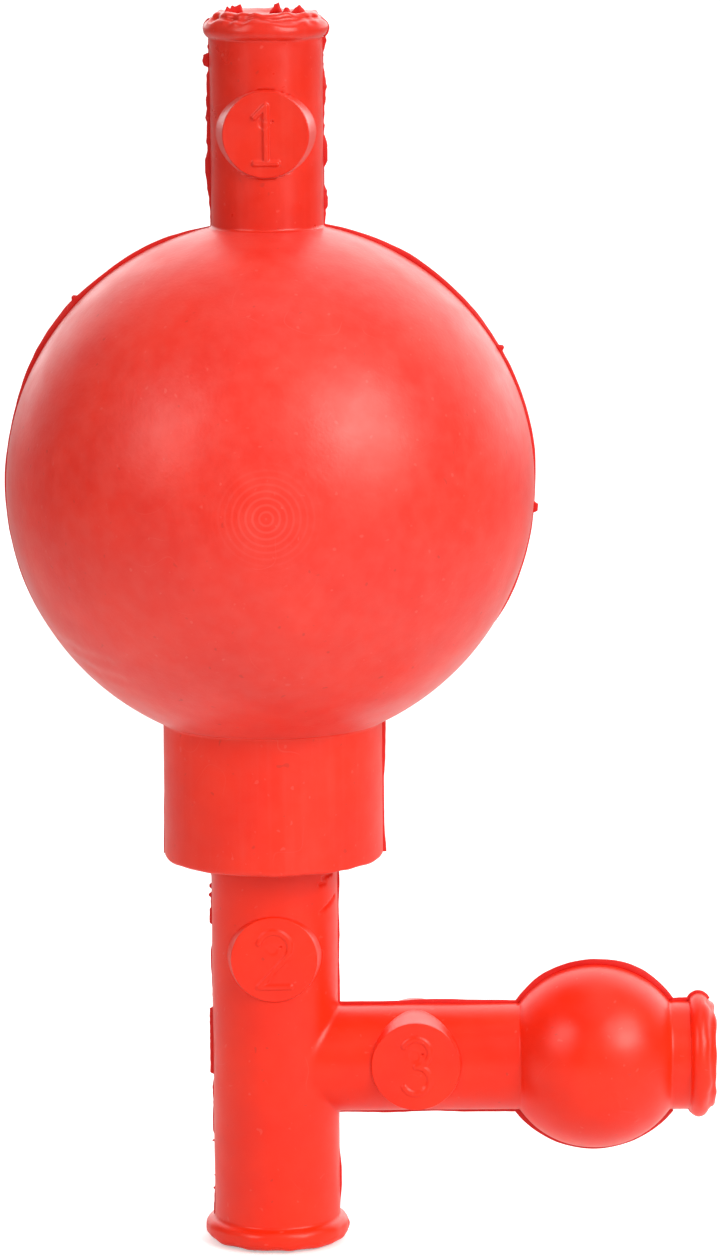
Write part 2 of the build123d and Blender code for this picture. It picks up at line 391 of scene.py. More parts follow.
class Shader:
    """The node tree of one new material, with a short call for each kind of node used here."""

    def __init__(self, name):
        self.material = bpy.data.materials.new(name)
        self.material.use_nodes = True
        self.tree = self.material.node_tree
        self.surface = self.tree.nodes["Principled BSDF"].inputs
        self.place = self.tree.nodes.new("ShaderNodeTexCoord").outputs["Object"]

    def set(self, socket, value):
        """Links another node's output to the socket, or stores a plain value in it."""
        if isinstance(value, bpy.types.NodeSocket):
            self.tree.links.new(value, socket)
        elif socket.type == "RGBA":
            socket.default_value = (*value, 1)
        else:
            socket.default_value = value

    def cloud(self, scale, detail=2.0, stretch=(1, 1, 1)):
        """Smooth noise with so many features per metre, drawn out along some axes."""
        move = self.tree.nodes.new("ShaderNodeVectorMath")
        move.operation = "MULTIPLY"
        self.set(move.inputs[0], self.place)
        move.inputs[1].default_value = stretch
        node = self.tree.nodes.new("ShaderNodeTexNoise")
        self.set(node.inputs["Vector"], move.outputs["Vector"])
        node.inputs["Scale"].default_value = scale
        node.inputs["Detail"].default_value = detail
        return node.outputs["Fac"]

    def math(self, operation, a, b=0.0):
        """One arithmetic step."""
        node = self.tree.nodes.new("ShaderNodeMath")
        node.operation = operation
        self.set(node.inputs[0], a)
        self.set(node.inputs[1], b)
        return node.outputs["Value"]

    def ramp(self, value, low, high, to_low=0.0, to_high=1.0):
        """Maps low..high to to_low..to_high, and holds the ends."""
        node = self.tree.nodes.new("ShaderNodeMapRange")
        self.set(node.inputs["Value"], value)
        limits = {"From Min": low, "From Max": high, "To Min": to_low, "To Max": to_high}
        for name, number in limits.items():
            node.inputs[name].default_value = number
        return node.outputs["Result"]

    def mix(self, factor, a, b):
        """A colour between a and b."""
        node = self.tree.nodes.new("ShaderNodeMix")
        node.data_type = "RGBA"
        self.set(node.inputs["Factor"], factor)
        self.set(node.inputs["A"], a)
        self.set(node.inputs["B"], b)
        return node.outputs["Result"]

    def length(self, vector):
        """The length of a vector."""
        node = self.tree.nodes.new("ShaderNodeVectorMath")
        node.operation = "LENGTH"
        self.set(node.inputs[0], vector)
        return node.outputs["Value"]

    def from_rings_axis(self):
        """Distance from the centre line of the ball's turning marks, in millimetres."""
        shift = self.tree.nodes.new("ShaderNodeVectorMath")
        shift.operation = "SUBTRACT"
        self.set(shift.inputs[0], self.place)
        shift.inputs[1].default_value = (0, 0, RINGS_Z * MM)
        flatten = self.tree.nodes.new("ShaderNodeVectorMath")
        flatten.operation = "MULTIPLY"
        self.set(flatten.inputs[0], shift.outputs["Vector"])
        flatten.inputs[1].default_value = (1 / MM, 0, 1 / MM)
        return self.length(flatten.outputs["Vector"])


BLOOM = (0.92, 0.24, 0.2)  # pale pink of the powder that rubber sweats out
DIRT = (0.4, 0.03, 0.02)
RING_PITCH = 0.75  # distance between the turning marks round the ball's poles
RINGS_Z = BALL_Z + 0.45  # height of the marks' centre
RING_RELIEF = 0.008
RING_FADE = 3  # distance over which the marks' relief dies away
CREASE_DEPTH = 0.12
SCRATCH_HEIGHT = 0.07


def rubber(name, colour, bloom, roughness, grain, shine=0.5, haze=0.06, streaks=0.0, rings=False):
    """Red natural rubber: cloudy colour, a bloom of powder, fine grain, specks and hairline marks."""
    shader = Shader(name)
    deep = tuple(channel * shade for channel, shade in zip(colour, (0.93, 0.75, 0.75)))
    # Cloudy patches of two shades, about a centimetre across.
    body = shader.mix(shader.ramp(shader.cloud(95, 4), 0.38, 0.62), deep, colour)
    # The bloom, in small patches, with streaks along the tube. On the ball, paler rings at the crests of
    # its turning marks.
    powder = shader.ramp(shader.cloud(520, 3), 0.35, 0.7, 0, bloom)
    if streaks:
        flow = shader.cloud(900, 3, stretch=(1, 1, 0.04))
        powder = shader.math("ADD", powder, shader.ramp(flow, 0.5, 0.72, 0, streaks))
    # Paler rings at the crests of the turning marks round the ball's poles, fading out away from their
    # centre.
    if rings:
        radius = shader.from_rings_axis()
        wave = shader.math("COSINE", shader.math("MULTIPLY", radius, 2 * math.pi / RING_PITCH))
        fade = shader.ramp(radius, 1.8, 6.5, 0.13, 0)
        powder = shader.math("ADD", powder, shader.math("MULTIPLY", shader.ramp(wave, 0, 1), fade))
    # Hairlines run where a smooth noise crosses its middle value, in some places only.
    hairline = shader.math("ABSOLUTE", shader.math("SUBTRACT", shader.cloud(110, 1), 0.5))
    hairline = shader.ramp(hairline, 0.0005, 0.0025, 0.12, 0)
    hairline = shader.math("MULTIPLY", hairline, shader.ramp(shader.cloud(160, 0), 0.6, 0.68))
    powder = shader.math("ADD", powder, hairline)
    # Pale specks, then dark ones.
    powder = shader.math("ADD", powder, shader.ramp(shader.cloud(1500, 0), 0.79, 0.85, 0, 0.16))
    body = shader.mix(powder, body, BLOOM)
    dirt = shader.ramp(shader.cloud(1150, 0, stretch=(1, 1.3, 1)), 0.19, 0.14, 0, 0.3)
    body = shader.mix(dirt, body, DIRT)
    shader.set(shader.surface["Base Color"], body)
    rough = shader.ramp(shader.cloud(300, 3), 0.3, 0.7, roughness - 0.05, roughness + 0.06)
    shader.set(shader.surface["Roughness"], rough)
    shader.surface["Specular IOR Level"].default_value = shine
    shader.surface["Sheen Weight"].default_value = haze
    shader.surface["Sheen Roughness"].default_value = 0.3
    bump = shader.tree.nodes.new("ShaderNodeBump")
    bump.inputs["Strength"].default_value = grain
    bump.inputs["Distance"].default_value = 0.00004
    shader.set(bump.inputs["Height"], shader.cloud(2400, 2))
    shader.set(shader.surface["Normal"], bump.outputs["Normal"])
    return shader.material


def steel():
    """Polished bearing steel with fine polishing marks."""
    shader = Shader("ball_steel")
    marks = shader.cloud(900)
    shader.surface["Metallic"].default_value = 1
    shader.set(shader.surface["Roughness"], shader.ramp(marks, 0, 1, 0.1, 0.25))
    shader.set(shader.surface["Base Color"], shader.ramp(marks, 0, 1, 0.45, 0.62))
    return shader.material


ball_rubber = rubber(
    "ball_rubber", (0.9, 0.034, 0.017), bloom=0.08, roughness=0.38, grain=0.45, haze=0.2, rings=True
)
collar_rubber = rubber(
    "collar_rubber",
    (0.92, 0.028, 0.006),
    bloom=0.035,
    roughness=0.4,
    grain=0.25,
    shine=0.42,
    haze=0.1,
    streaks=0.04,
)
air_rubber = rubber(
    "air_rubber", (0.82, 0.024, 0.005), bloom=0.035, roughness=0.32, grain=0.2, haze=0.25, streaks=0.04
)
tube_rubber = rubber(
    "tube_rubber", (0.93, 0.025, 0.002), bloom=0.015, roughness=0.34, grain=0.15, shine=0.4
)
flash_rubber = rubber(
    "flash_rubber", (0.7, 0.014, 0.01), bloom=0.01, roughness=0.45, grain=0.2, shine=0.25, haze=0.02
)
dried_cement = rubber("dried_cement", (0.5, 0.03, 0.015), bloom=0.03, roughness=0.3, grain=0.3)


# =============================== main bulb ===============================

POLE_DETAIL = math.radians(18)  # the turning marks round each pole get closer bands
# Creases low on the ball's left, as seen from the front, in x and z from its centre.
CREASES = [[(-23.5, -16.4), (-20.5, -17.4), (-18, -17.6)], [(-22, -18.4), (-19, -19.6), (-16.5, -19.8)]]


def ball_relief(angle, direction):
    """Turning marks round the pole of the mould, and the slight unevenness of a moulded ball."""
    from_rings = np.hypot(BALL_R * direction[..., 0], BALL_R * direction[..., 2] + BALL_Z - RINGS_Z)
    wave = np.cos(2 * math.pi * from_rings / RING_PITCH)
    marks = RING_RELIEF * wave * np.exp(-from_rings / RING_FADE)
    from_axis = BALL_R * np.hypot(direction[..., 0], direction[..., 1])
    uneven = 0.05 * noise(direction * BALL_R, 16, 3) * smoothstep(from_axis, 13, 18)
    spot = BALL_R * direction
    for crease in CREASES:
        groove = 1 - smoothstep(line_distance(spot[..., 0], spot[..., 2], crease), 0.1, 0.8)
        uneven = uneven - CREASE_DEPTH * groove * (spot[..., 1] < 0)
    return marks + uneven + 0 * angle


pole_bands = np.linspace(math.radians(0.15), POLE_DETAIL, 130, endpoint=False)
side_bands = np.linspace(POLE_DETAIL, math.pi / 2, 84)
ball_bands = np.concatenate([pole_bands, side_bands])
for end, side in (("front", -1), ("back", 1)):
    shell = half_shell((0, 0, BALL_Z), BALL_R, BALL_WALL, side, ball_bands, 256, ball_relief)
    half = mesh_object(f"ball_{end}", [shell], ball_rubber)
    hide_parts(f"bulb_{end}_wall")
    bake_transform(half)


def sink_pocket(points, x, z, crown, radius):
    """Flattens the front and back of a tube under a pad, so that the pad can move in."""
    under_pad = np.hypot(points[:, 0] - x, points[:, 2] - z) < radius
    floor = crown - PAD_POCKET
    high = under_pad & (np.abs(points[:, 1]) > floor)
    points[high, 1] = np.sign(points[high, 1]) * floor


# ---- air tube with its rolled rim, and a torn lip above the rim ----
AIR_BEAD_X = 5.78  # how far from the axis the centre of the rim's round section is
AIR_BEAD_Z = TOP_Z - 1.28
AIR_BEAD_R = 1.18
air_profile = (
    [(r, BALL_Z + h) for r, h in flare(AIR_TUBE_R, BALL_R, 0.35)]
    + arc((AIR_TUBE_R + 0.1, TOP_Z - 2.45), 0.1, 180, 130, step=25)
    + arc((AIR_BEAD_X, AIR_BEAD_Z), AIR_BEAD_R, -58, 70, step=8)
    + arc((5.3, TOP_Z + 0.1), 0.52, -10, 90, step=12)
    + [(4.3, TOP_Z + 0.45)]
    + arc((AIR_MOUTH_R + 0.6, TOP_Z - 0.5), 0.6, 90, 180, step=15)
    + [(AIR_MOUTH_R, TOP_Z - AIR_MOUTH_DEPTH), (PASSAGE_R, TOP_Z - AIR_MOUTH_DEPTH)]
    + arc((0, AIR_VALVE_Z), SEAT_R, 50, -50, step=10)
    + [(PASSAGE_R, BALL_Z + 24), (6.0, BALL_Z + 24)]
)
air_points, air_faces = lathe(air_profile)
from_axis = np.hypot(air_points[:, 0], air_points[:, 1])
outward = air_points * [1, 1, 0] / from_axis[:, None]
skin = smoothstep(from_axis, 4.2, 5.2)
rim = smoothstep(air_points[:, 2], TOP_Z - 3.0, TOP_Z - 1.8) * skin
lip = smoothstep(air_points[:, 2], TOP_Z - 0.9, TOP_Z - 0.1) * smoothstep(from_axis, 3.0, 4.2)
air_points += outward * (skin * 0.05 * noise(air_points, 6, 4))[:, None]
waves = rim * 0.13 * noise(air_points, 2.6, 5) + lip * 0.3 * noise(air_points, 1.1, 9)
air_points += outward * waves[:, None]
air_points[:, 2] += rim * 0.12 * noise(air_points * [1, 1, 0.2], 2.8, 6)
air_points[:, 2] += lip * 0.28 * noise(air_points * [1, 1, 0.2], 1.2, 7)
sink_pocket(air_points, 0, AIR_VALVE_Z, AIR_TUBE_R, AIR_FACE_R - 0.15)
air_tube = mesh_object("air_tube", [(air_points, air_faces)], air_rubber)
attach(air_tube, "pump_body")

# ---- collar ----
collar_profile = (
    [(SOCKET_R, BALL_Z - 24), (11, BALL_Z - 24)]
    + [(r, BALL_Z - h) for r, h in flare(COLLAR_R, BALL_R, 0.4)]
    + arc((COLLAR_R - 0.45, COLLAR_Z + 0.45), 0.45, 0, -90, step=15)
    + arc((SOCKET_R + 0.3, COLLAR_Z + 0.3), 0.3, -90, -180, step=30)
)
collar_points, collar_faces = lathe(collar_profile, segments=320)
lower_edge = smoothstep(-collar_points[:, 2], -COLLAR_Z - 1.2, -COLLAR_Z - 0.2)
outer_side = smoothstep(np.hypot(collar_points[:, 0], collar_points[:, 1]), 10.5, 12)
collar_points[:, 2] += lower_edge * 0.1 * noise(collar_points * [1, 1, 0.1], 1.6, 14)
bulge = outer_side * 0.06 * noise(collar_points * [1, 1, 0.5], 7, 15) / COLLAR_R
collar_points[:, :2] *= 1 + bulge[:, None]
collar = mesh_object("collar", [(collar_points, collar_faces)], collar_rubber)
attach(collar, "pump_body")
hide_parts("main_bulb")

# ---- flash on the main bulb, clockwise from the collar's left side ----
ball_centre = (0, BALL_Z)
tube_foot = BALL_Z + math.sqrt(BALL_R**2 - AIR_TUBE_R**2)
collar_top = BALL_Z - math.sqrt(BALL_R**2 - COLLAR_R**2)
tube_foot_angle = math.degrees(math.acos(AIR_TUBE_R / BALL_R))
collar_top_angle = math.degrees(math.acos(COLLAR_R / BALL_R))
main_flash = [
    fin([(-COLLAR_R, COLLAR_Z + 0.3), (-COLLAR_R, collar_top)], torn(-0.05, 0.16, 5, 30), 31),
    fin(
        ball_arc(ball_centre, BALL_R, 180 + collar_top_angle, 180 - tube_foot_angle),
        torn(0.02, 0.26, 7, 32, swells=[(54, 11, 0.42), (68, 5, 0.25)], patches=[(57, 57.8, 0.9)]),
        33,
    ),
    fin(
        [(-AIR_TUBE_R, tube_foot), (-AIR_TUBE_R, TOP_Z - 2.3)],
        torn(0.1, 0.62, 3.2, 34, patches=[(17.9, 19.6, 0.7)], fray=0.22),
        35,
    ),
    fin(arc((-AIR_BEAD_X, AIR_BEAD_Z), AIR_BEAD_R, 235, 115), torn(0.02, 0.16, 1.5, 36), 37),
    fin(
        [(-5.1, TOP_Z + 0.35), (-2.2, TOP_Z + 0.5)],
        torn(-0.4, -0.2, 1, 38, swells=[(0.9, 0.5, 0.9)], patches=[(1.1, 2.7, 0.8)], fray=0.15),
        39,
    ),
    fin(
        [(0.5, TOP_Z + 0.6), (5.0, TOP_Z + 0.25)],
        torn(
            -0.3,
            -0.1,
            1,
            40,
            swells=[(0.8, 0.5, 1.2), (3.3, 0.8, 1.0)],
            patches=[(1.4, 2.4, 0.5)],
            fray=0.15,
        ),
        41,
    ),
    fin(arc((AIR_BEAD_X, AIR_BEAD_Z), AIR_BEAD_R, 70, -55), torn(0.05, 0.25, 1.5, 42), 43),
    fin(
        [(AIR_TUBE_R, TOP_Z - 2.3), (AIR_TUBE_R, tube_foot)],
        torn(0.12, 0.5, 2.6, 44, fray=0.25),
        45,
    ),
    fin(
        ball_arc(ball_centre, BALL_R, tube_foot_angle, -collar_top_angle),
        torn(
            0.12,
            0.32,
            6,
            46,
            swells=[(8, 8, 0.3), (24, 9, 0.2)],
            patches=[(24.5, 25.3, 0.75), (43, 44.3, 0.6)],
        ),
        47,
    ),
    fin([(COLLAR_R, collar_top), (COLLAR_R, COLLAR_Z + 0.3)], torn(0.2, 0.45, 4, 48), 49),
]
main_bulb_flash = mesh_object("main_bulb_flash", main_flash, flash_rubber)
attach(main_bulb_flash, "pump_body")

# =============================== tee moulding ===============================


def on_siphon_tube(x, z):
    """The point of the siphon tube's front at that place."""
    return (x, -math.sqrt(SIPHON_TUBE_R**2 - x**2), z)


TEE_VOXEL = 0.25
STEM_TOP_Z = 47  # the siphon tube's upper end, hidden in the plug
ARM_TURN_X = 30  # beyond this place the side arm is lathed
SLIT_R = 0.23
slits = [
    (on_siphon_tube(5.3, 39.2), on_siphon_tube(6.9, 40.6)),
    (on_siphon_tube(5.6, 43.2), on_siphon_tube(6.6, 43.4)),
    (on_siphon_tube(5.2, 42.5), on_siphon_tube(5.9, 42.6)),
]


def tee_distance(points):
    """Distance to the tee: siphon tube, side arm, rolled rim, passages, pad pockets and slits."""
    x, y, z = points[..., 0], points[..., 1], points[..., 2]
    from_stem = np.hypot(x, y)
    from_arm = np.hypot(y, z - ARM_Z)
    stem = np.maximum(from_stem - SIPHON_TUBE_R, np.maximum(z - STEM_TOP_Z, -z))
    rim = rounded_ring(z, from_stem, 0, SIPHON_RIM_HEIGHT, SIPHON_RIM_R, SIPHON_RIM_ROUND)
    body = round_union(stem, rim, 0.25)
    arm = np.maximum(from_arm - ARM_R, np.maximum(x - ARM_TURN_X, -x))
    body = round_union(body, arm, 0.4)
    body = body - 0.05 * noise(points, 5.5, 21) - 0.12 * smoothstep(-z, -3, -1) * noise(points, 1.6, 22)
    hollows = [
        np.maximum(from_stem - PASSAGE_R, -z - 1),
        np.maximum(from_stem - MOUTH_R, z - MOUTH_DEPTH),
        np.maximum(from_arm - PASSAGE_R, -x),
        np.sqrt(from_stem**2 + (z - SIPHON_VALVE_Z) ** 2) - SEAT_R,
        np.sqrt(from_arm**2 + (x - EXHAUST_VALVE_X) ** 2) - SEAT_R,
    ]
    for pad_x, pad_z, crown, face_r in (
        (0, SIPHON_VALVE_Z, SIPHON_TUBE_R, SIPHON_FACE_R),
        (EXHAUST_VALVE_X, EXHAUST_PAD_Z, ARM_R, EXHAUST_FACE_R),
    ):
        under_pad = np.hypot(x - pad_x, z - pad_z) - (face_r - 0.15)
        hollows.append(np.maximum(under_pad, crown - PAD_POCKET - np.abs(y)))
    hollows += [rod(points, start, end, SLIT_R) for start, end in slits]
    for hollow in hollows:
        body = np.maximum(body, -hollow)
    return body


tee_tube = implicit_mesh(tee_distance, (-9.2, -9.2, -0.7), (30.8, 9.2, 47.8), TEE_VOXEL)
arm_end = [(r, EXHAUST_X - h) for r, h in flare(ARM_R, EXHAUST_R, 0.35)]
arm_end += [(ARM_R - 0.03, EXHAUST_X - 10.5), (ARM_R - 0.6, EXHAUST_X - 10.5)]
arm_end += [(ARM_R - 0.6, ARM_TURN_X)]
plug = [
    (SIPHON_TUBE_R - 0.3, PLUG_BOTTOM_Z),
    (PLUG_R - 0.02, PLUG_BOTTOM_Z),
    (PLUG_R - 0.02, PLUG_TOP_Z - 0.8),
    (PLUG_R - 0.8, PLUG_TOP_Z),
    (PASSAGE_R, PLUG_TOP_Z),
    (PASSAGE_R, PLUG_BOTTOM_Z + 0.9),
    (SIPHON_TUBE_R - 0.3, PLUG_BOTTOM_Z + 0.9),
]
tee = mesh_object("tee_body", [tee_tube, lathe(arm_end, "x"), lathe(plug)], tube_rubber)
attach(tee, "pump_body")
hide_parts("tee_piece")

# ---- neck and rolled rim at the end of the arm ----
TIP_BEAD_X = ARM_END_X - 1.85  # centre of the rim's round section
TIP_BEAD_RISE = 6.1  # how far that centre is from the arm's axis
TIP_BEAD_R = 1.15
tip_profile = (
    [(r, EXHAUST_X + h) for r, h in flare(NECK_R, EXHAUST_R, 0.5)]
    + arc((NECK_R + 0.12, ARM_END_X - 3.05), 0.12, 180, 130, step=25)
    + arc((TIP_BEAD_RISE, TIP_BEAD_X), TIP_BEAD_R, -65, 68, step=8)
    + arc((5.55, ARM_END_X - 0.62), 0.6, 15, 80, step=12)
    + [(4.0, ARM_END_X - 0.02)]
    + arc((EXHAUST_HOLE_R + 0.4, ARM_END_X - 0.4), 0.4, 90, 180, step=20)
    + [(EXHAUST_HOLE_R, EXHAUST_X + 8.2), (5.5, EXHAUST_X + 8.2)]
)
tip_points, tip_faces = lathe(tip_profile, "x")
torn_end = smoothstep(tip_points[:, 0], ARM_END_X - 3, ARM_END_X - 1.6)
tip_points[:, 0] += torn_end * 0.18 * noise(tip_points, 1.6, 8)
arm_tip = mesh_object("arm_tip", [(tip_points, tip_faces)], tube_rubber)
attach(arm_tip, "pump_body")


# ---- exhaust bulb ----
SCRATCH = [(1.9, -2.2), (2.6, -4.1), (4.0, -4.5), (4.5, -5.8)]  # on the small bulb's front


def exhaust_relief(angle, direction):
    """Slight unevenness of the small bulb, away from the arm and the neck, and its scratch."""
    from_ends = smoothstep(np.hypot(direction[..., 1], direction[..., 2]), 0.62, 0.8)
    spot = direction * EXHAUST_R
    scratch = 1 - smoothstep(line_distance(spot[..., 0], spot[..., 2], SCRATCH), 0.05, 0.22)
    scratch *= direction[..., 1] < 0
    return 0.07 * from_ends * noise(spot, 6, 11) + SCRATCH_HEIGHT * scratch + 0 * angle


exhaust_bands = np.linspace(math.radians(0.3), math.pi / 2, 110)
exhaust_centre = (EXHAUST_X, 0, ARM_Z)
for end, side in (("front", -1), ("back", 1)):
    shell = half_shell(exhaust_centre, EXHAUST_R, EXHAUST_WALL, side, exhaust_bands, 224, exhaust_relief)
    half = mesh_object(f"exhaust_bulb_{end}", [shell], tube_rubber)
    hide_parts(f"exhaust_{end}_wall")
    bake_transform(half)

# ---- flash on the tee, clockwise from the bottom of the siphon tube's left side ----
bulb_centre = (EXHAUST_X, ARM_Z)
arm_top, arm_bottom = ARM_Z + ARM_R, ARM_Z - ARM_R
arm_angle = math.degrees(math.asin(ARM_R / EXHAUST_R))
neck_angle = math.degrees(math.asin(NECK_R / EXHAUST_R))
bulb_left = EXHAUST_X - math.sqrt(EXHAUST_R**2 - ARM_R**2)
bulb_right = EXHAUST_X + math.sqrt(EXHAUST_R**2 - NECK_R**2)
SIPHON_RIM_TOP = SIPHON_RIM_HEIGHT - 0.2
SIPHON_BEAD_X = SIPHON_RIM_R - SIPHON_RIM_ROUND
SIPHON_BEAD_Z = SIPHON_RIM_HEIGHT / 2
tee_flash = [
    fin(arc((-SIPHON_BEAD_X, SIPHON_BEAD_Z), SIPHON_RIM_ROUND, 260, 110), torn(-0.05, 0.12, 1.5, 60), 61),
    fin(
        [(-SIPHON_TUBE_R, SIPHON_RIM_TOP), (-SIPHON_TUBE_R, COLLAR_Z)],
        torn(
            -0.2,
            0.16,
            2.2,
            62,
            patches=[
                (3.2, 3.6, 0.3),
                (4.8, 5.1, 0.28),
                (8.8, 9.3, 0.3),
                (16.9, 25.0, 0.38),
                (34.6, 36.7, 0.25),
                (37.8, 38.5, 0.32),
                (38.8, 39.6, 0.25),
            ],
        ),
        63,
    ),
    fin([(SIPHON_TUBE_R, COLLAR_Z), (SIPHON_TUBE_R, arm_top)], torn(0.02, 0.26, 3, 64), 65),
    fin([(SIPHON_TUBE_R - 1, arm_top), (bulb_left, arm_top)], torn(0.3, 0.58, 6, 66), 67),
    fin(ball_arc(bulb_centre, EXHAUST_R, 180 - arm_angle, neck_angle), torn(0.5, 0.78, 5, 68), 69),
    fin([(bulb_right - 0.5, ARM_Z + NECK_R), (TIP_BEAD_X, ARM_Z + NECK_R)], torn(0.3, 0.5, 2, 70), 71),
    fin(arc((TIP_BEAD_X, ARM_Z + TIP_BEAD_RISE), TIP_BEAD_R, 160, 20), torn(0.25, 0.42, 1.2, 72), 73),
    fin([(ARM_END_X - 0.6, ARM_Z + 6.0), (ARM_END_X - 0.2, ARM_Z + 3.6)], torn(0.0, 0.2, 1.2, 74), 75),
    fin(arc((TIP_BEAD_X, ARM_Z - TIP_BEAD_RISE), TIP_BEAD_R, -20, -160), torn(-0.05, 0.2, 1.5, 76), 77),
    fin([(TIP_BEAD_X, ARM_Z - NECK_R), (bulb_right - 0.5, ARM_Z - NECK_R)], torn(0.2, 0.38, 2, 78), 79),
    fin(ball_arc(bulb_centre, EXHAUST_R, -neck_angle, arm_angle - 180), torn(0.5, 0.68, 5, 80), 81),
    fin([(bulb_left, arm_bottom), (SIPHON_TUBE_R - 1, arm_bottom)], torn(0.3, 0.55, 5, 82), 83),
    fin([(SIPHON_TUBE_R, arm_bottom), (SIPHON_TUBE_R, SIPHON_RIM_TOP)], torn(0.0, 0.24, 4, 84), 85),
    fin(arc((SIPHON_BEAD_X, SIPHON_BEAD_Z), SIPHON_RIM_ROUND, 70, -80), torn(-0.05, 0.16, 1.3, 86), 87),
]
tee_piece_flash = mesh_object("tee_flash", tee_flash, flash_rubber)
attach(tee_piece_flash, "pump_body")

# =============================== pads ===============================

PAD_EDGE = 0.5  # rounding between a pad's face and its flank
PAD_FOOT = 0.4  # rounding between the flank and the tube
PAD_SINK = 0.12  # how far a pad's skirt dips under the tube's skin
PAD_SKIRT = 0.55  # how far under the tube's skin a pad's flank is when its skirt ends
PAD_SEGMENTS = 224
STROKE_TOP = 0.16
STROKE_FOOT = 0.44


def digit_strokes(digit):
    """Centre lines of 1, 2 or 3, as lists of points about the pad's centre."""
    half_w, half_h = 1.8, 3.2
    serif, flag = 0.7 * half_w, 0.4 * half_h
    if digit == 1:
        return [[(-serif, half_h - flag), (0, half_h), (0, -half_h)], [(-serif, -half_h), (serif, -half_h)]]
    if digit == 2:
        return [arc((0, half_h - half_w), half_w, 165, -40) + [(-half_w, -half_h), (half_w, -half_h)]]
    bowl_r = half_h / 2
    return [arc((0, bowl_r), bowl_r, 150, -90), arc((0, -bowl_r), bowl_r, 90, -150)]


def pad_skin(digit, relief, face_r, draft, tube_r, proud, along_x, side):
    """Points and faces of one pad: a drafted disc with a raised digit that sits on its tube.
    Its own axes are u to the viewer's right, v up and height outwards from the tube's axis."""
    turn = np.linspace(0, 2 * math.pi, PAD_SEGMENTS, endpoint=False)
    across_share = np.abs(np.sin(turn) if along_x else np.cos(turn))
    face = tube_r + proud
    slope = math.tan(math.radians(draft))
    limit = (tube_r - 0.2) / np.maximum(across_share, 0.01)
    widest = np.full(PAD_SEGMENTS, face_r)
    for _ in range(20):
        tube = np.sqrt(tube_r**2 - (widest * across_share) ** 2)
        widest = np.minimum(face_r + (face - tube + PAD_SKIRT) * slope, limit)
    inner = np.linspace(0.02, face_r - 0.5, 50)[:, None] + 0 * turn
    outer = face_r - 0.5 + np.linspace(0.03, 1, 44)[:, None] * (widest - face_r + 0.5)
    radius = np.concatenate([inner, outer])
    u, v = radius * np.cos(turn), radius * np.sin(turn)
    tube = np.sqrt(tube_r**2 - (v if along_x else u) ** 2)
    flank = face - (radius - face_r) / slope
    skin = soft_max(soft_min(face, flank, PAD_EDGE), tube, PAD_FOOT)
    skin -= PAD_SINK * smoothstep(tube - flank, 0.1, PAD_SKIRT)
    nearest = np.full_like(skin, 1e9)
    for stroke in digit_strokes(digit):
        nearest = np.minimum(nearest, line_distance(u, v, stroke))
    skin += relief * (1 - smoothstep(nearest, STROKE_TOP, STROKE_FOOT))
    # The mark of the mould's ejector pin is a shallow dimple with a pinhole beside it.
    skin -= 0.07 * (1 - smoothstep(np.hypot(u + 0.2, v - 1.2), 0.45, 0.75))
    skin -= 0.2 * (1 - smoothstep(np.hypot(u - 0.75, v - 1.45), 0.05, 0.2))
    under_rows = np.linspace(len(skin) - 1, 0, 24).astype(int)
    under = np.minimum(tube_r - PAD_BODY, skin[under_rows] - 0.6)
    height = np.concatenate([skin, under])
    u, v = np.concatenate([u, u[under_rows]]), np.concatenate([v, v[under_rows]])
    points = np.stack([-side * u, side * height, v], axis=-1)
    return points.reshape(-1, 3), capped_faces(len(height), PAD_SEGMENTS)


for valve, digit, relief, centre, tube_r, face_r, draft in (
    ("air", 1, DIGIT_RELIEF, (0, 0, AIR_VALVE_Z), AIR_TUBE_R, AIR_FACE_R, 11),
    ("siphon", 2, 0.22, (0, 0, SIPHON_VALVE_Z), SIPHON_TUBE_R, SIPHON_FACE_R, 9),
    ("exhaust", 3, 0.2, (EXHAUST_VALVE_X, 0, EXHAUST_PAD_Z), ARM_R, EXHAUST_FACE_R, 7),
):
    for end, side in (("front", -1), ("back", 1)):
        node = f"{valve}_pad_{end}"
        low, high = cad_size(node)
        proud = max(abs(low[1]), abs(high[1])) - DIGIT_RELIEF - tube_r
        points, faces = pad_skin(digit, relief, face_r, draft, tube_r, proud, valve == "exhaust", side)
        material = air_rubber if valve == "air" else tube_rubber
        pad = mesh_object(f"{valve}_pad_{end}_skin", [(points + centre, faces)], material)
        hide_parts(node)
        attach(pad, node)

# =============================== CAD nodes that stay ===============================

polished_steel = steel()
for node, material in (
    ("air_valve_ball", polished_steel),
    ("siphon_valve_ball", polished_steel),
    ("exhaust_valve_ball", polished_steel),
    ("cement_film", dried_cement),
):
    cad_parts[node].data.materials.clear()
    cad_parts[node].data.materials.append(material)

# =============================== stage ===============================

# Lengths from here on are metres.
FLOOR_RADIUS = 60
FLOOR_DROP = 0.0003
floor_angles = np.linspace(0, 2 * math.pi, 128, endpoint=False)
floor_mesh = bpy.data.meshes.new("floor")
floor_edge = [(FLOOR_RADIUS * math.cos(a), FLOOR_RADIUS * math.sin(a), -FLOOR_DROP) for a in floor_angles]
floor_mesh.from_pydata(floor_edge, [], [tuple(range(len(floor_edge)))])
floor = bpy.data.objects.new("floor", floor_mesh)
scene.collection.objects.link(floor)
floor_paint = Shader("pale_floor")
from_object = floor_paint.length(floor_paint.place)
floor_paint.set(floor_paint.surface["Base Color"], floor_paint.ramp(from_object, 0.08, 0.5, 0.85, 0.2))
floor_paint.set(floor_paint.surface["Emission Color"], (1, 1, 1))
seen_directly = floor_paint.tree.nodes.new("ShaderNodeLightPath").outputs["Is Camera Ray"]
lift = floor_paint.math("MULTIPLY", seen_directly, floor_paint.ramp(from_object, 0.08, 0.5, 0.45, 1.0))
